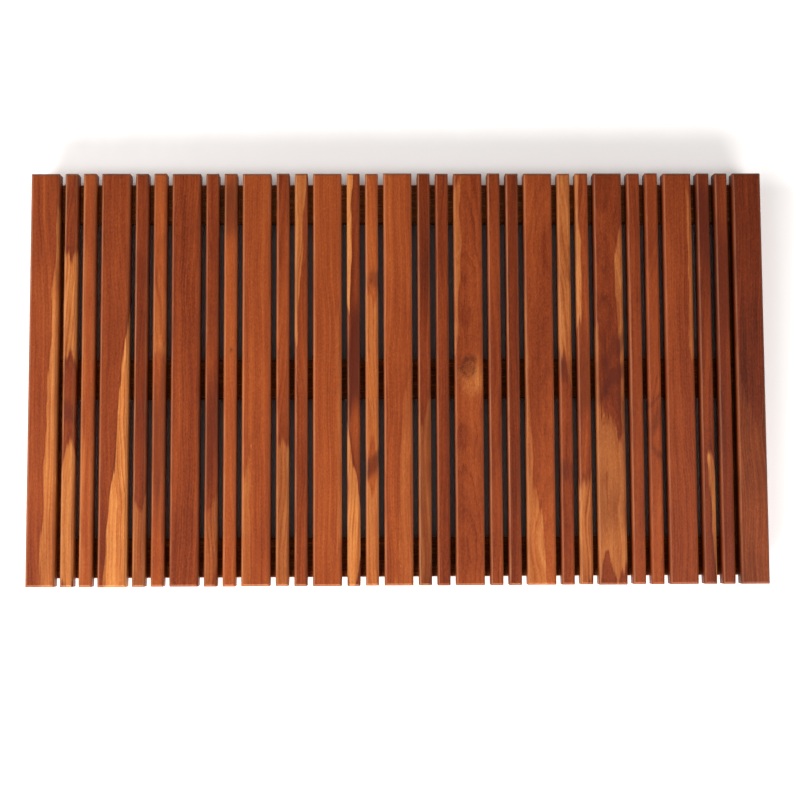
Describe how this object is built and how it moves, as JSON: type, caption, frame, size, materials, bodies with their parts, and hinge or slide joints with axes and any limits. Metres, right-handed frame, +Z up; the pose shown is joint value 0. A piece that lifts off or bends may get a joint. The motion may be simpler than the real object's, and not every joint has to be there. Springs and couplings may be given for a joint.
{
  "type": "slatted wooden bath mat",
  "caption": "Rigid slatted teak bath mat: wide and narrow slats side by side with drain gaps, on a low rail frame with rubber feet.",
  "frame": {"origin": "middle of the mat's footprint, on the floor that its feet stand on", "axes": "+X along the mat's long side, across the slats; +Y along the slats, towards the rear; +Z up"},
  "size_m": [0.8, 0.45, 0.038],
  "materials": {
    "slat_teak": "oiled satin",
    "frame_teak": "rough sawn, thin oil",
    "foot_rubber": "matte",
    "screw_steel": "satin"
  },
  "bodies": {
    "root": {"wide_slat_1": "slat_teak", "narrow_slat_1": "slat_teak", "narrow_slat_2": "slat_teak", "wide_slat_2": "slat_teak", "narrow_slat_3": "slat_teak", "narrow_slat_4": "slat_teak", "wide_slat_3": "slat_teak", "narrow_slat_5": "slat_teak", "narrow_slat_6": "slat_teak", "wide_slat_4": "slat_teak", "narrow_slat_7": "slat_teak", "narrow_slat_8": "slat_teak", "wide_slat_5": "slat_teak", "narrow_slat_9": "slat_teak", "narrow_slat_10": "slat_teak", "wide_slat_6": "slat_teak", "narrow_slat_11": "slat_teak", "narrow_slat_12": "slat_teak", "wide_slat_7": "slat_teak", "narrow_slat_13": "slat_teak", "narrow_slat_14": "slat_teak", "wide_slat_8": "slat_teak", "narrow_slat_15": "slat_teak", "narrow_slat_16": "slat_teak", "wide_slat_9": "slat_teak", "narrow_slat_17": "slat_teak", "narrow_slat_18": "slat_teak", "wide_slat_10": "slat_teak", "narrow_slat_19": "slat_teak", "narrow_slat_20": "slat_teak", "wide_slat_11": "slat_teak", "left_rear_end_piece": "frame_teak", "left_front_end_piece": "frame_teak", "right_rear_end_piece": "frame_teak", "right_front_end_piece": "frame_teak", "rear_rail": "frame_teak", "middle_rail": "frame_teak", "front_rail": "frame_teak", "foot_rear_left": "foot_rubber", "foot_screw_rear_left": "screw_steel", "foot_rear_middle": "foot_rubber", "foot_screw_rear_middle": "screw_steel", "foot_rear_right": "foot_rubber", "foot_screw_rear_right": "screw_steel", "foot_middle_left": "foot_rubber", "foot_screw_middle_left": "screw_steel", "foot_middle_middle": "foot_rubber", "foot_screw_middle_middle": "screw_steel", "foot_middle_right": "foot_rubber", "foot_screw_middle_right": "screw_steel", "foot_front_left": "foot_rubber", "foot_screw_front_left": "screw_steel", "foot_front_middle": "foot_rubber", "foot_screw_front_middle": "screw_steel", "foot_front_right": "foot_rubber", "foot_screw_front_right": "screw_steel"}
  },
  "joints": []
}
